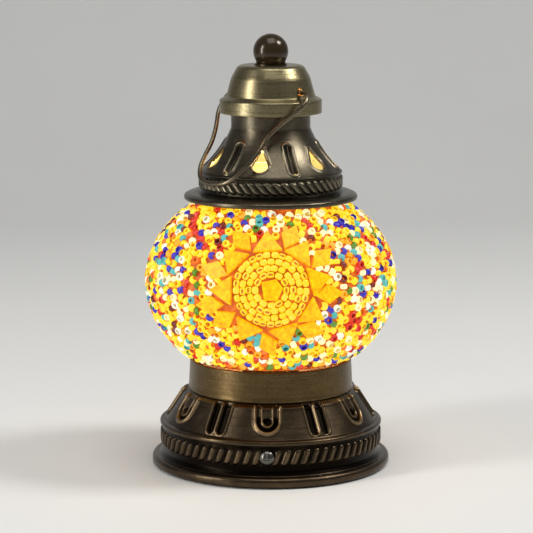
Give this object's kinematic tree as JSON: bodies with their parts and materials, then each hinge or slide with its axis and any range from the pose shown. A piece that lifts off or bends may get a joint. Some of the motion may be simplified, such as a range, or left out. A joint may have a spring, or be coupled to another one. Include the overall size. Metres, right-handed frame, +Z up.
{
  "type": "mosaic glass table lamp",
  "caption": "Small cordless table lamp: stamped brass foot, glass globe covered in seed beads with cut-glass stars, and a lift-off pierced hat with a wire bail.",
  "frame": {"origin": "on the table, on the lamp's axis, under the middle of the foot", "axes": "+Z up the lamp's axis; -Y is the front, where the bulb's light shows the first star; +X is the viewer's right"},
  "size_m": [0.1204, 0.1207, 0.2062],
  "materials": {
    "antique_brass": "stamped sheet, dark antique lacquer rubbed back on the edges",
    "brushed_brass": "olive antique brass, brushed round the axis",
    "finial_bronze": "dark brown gloss lacquer",
    "bail_wire": "drawn wire, antique finish",
    "steel": "zinc plated",
    "nickel": "nickel plated",
    "black_plastic": "moulded, fine texture",
    "white_plastic": "moulded",
    "opal_plastic": "opal diffuser, warm light",
    "led_phosphor": "phosphor",
    "cell_sleeve": "shrink sleeve",
    "wire_sleeve": "soft sleeve",
    "felt": "pressed felt",
    "clear_glass": "blown",
    "amber_grout": "cast resin grout, translucent",
    "bead_glass": "seed beads of many colours, fire polished",
    "tile_glass": "hand cut yellow sheet glass"
  },
  "bodies": {
    "base": {"base_shell": "antique_brass", "neck_collar": "brushed_brass", "side_screws": "brushed_brass", "bottom_plate": "black_plastic", "battery_tray": "black_plastic", "battery_cells": "cell_sleeve", "battery_springs": "nickel", "battery_contacts": "nickel", "tray_screws": "steel", "switch_body": "black_plastic", "internal_wires": "wire_sleeve", "seat_plate": "steel", "seat_gasket": "felt", "lamp_holder": "black_plastic", "holder_ring_nut": "black_plastic", "holder_contact": "nickel", "holder_screw_shell": "nickel", "glass_globe": "clear_glass", "grout_layer": "amber_grout", "bead_layer": "bead_glass", "star_triangles": "tile_glass", "star_diamonds": "tile_glass", "star_centres": "tile_glass", "rosette_beads": "bead_glass"},
    "bulb": {"bulb_cap": "nickel", "bulb_housing": "white_plastic", "bulb_envelope": "opal_plastic", "led_emitter": "led_phosphor"},
    "hat": {"hat_shell": "antique_brass", "hat_gasket": "felt", "hat_seat_ring": "steel", "hat_clips": "steel", "clip_rivets": "steel", "hat_spider": "steel", "threaded_rod": "steel", "rod_nut": "steel", "spacer_tube": "steel", "dome_cap": "brushed_brass", "finial_washer": "antique_brass", "finial_ball": "finial_bronze"},
    "bail": {"bail_handle": "bail_wire"},
    "door": {"battery_door": "black_plastic"},
    "switch": {"switch_slider": "white_plastic"}
  },
  "joints": [
    {"name": "hat_lift", "type": "slide", "parent": "base", "child": "hat", "axis": [0, 0, 1], "range_m": [0, 0.06]},
    {"name": "bail_swing", "type": "hinge", "parent": "hat", "child": "bail", "pos_m": [0, 0, 0.1798], "axis": [-0.682, 0.7314, 0], "range_deg": [0, 272]},
    {"name": "bulb_unscrew", "type": "slide", "parent": "base", "child": "bulb", "axis": [0, 0, 1], "range_m": [0, 0.022]},
    {"name": "door_swing", "type": "hinge", "parent": "base", "child": "door", "pos_m": [0, 0.02215, 0.0021], "axis": [1, 0, 0], "range_deg": [0, 95]},
    {"name": "switch_slide", "type": "slide", "parent": "base", "child": "switch", "axis": [1, 0, 0], "range_m": [0, 0.004]}
  ]
}
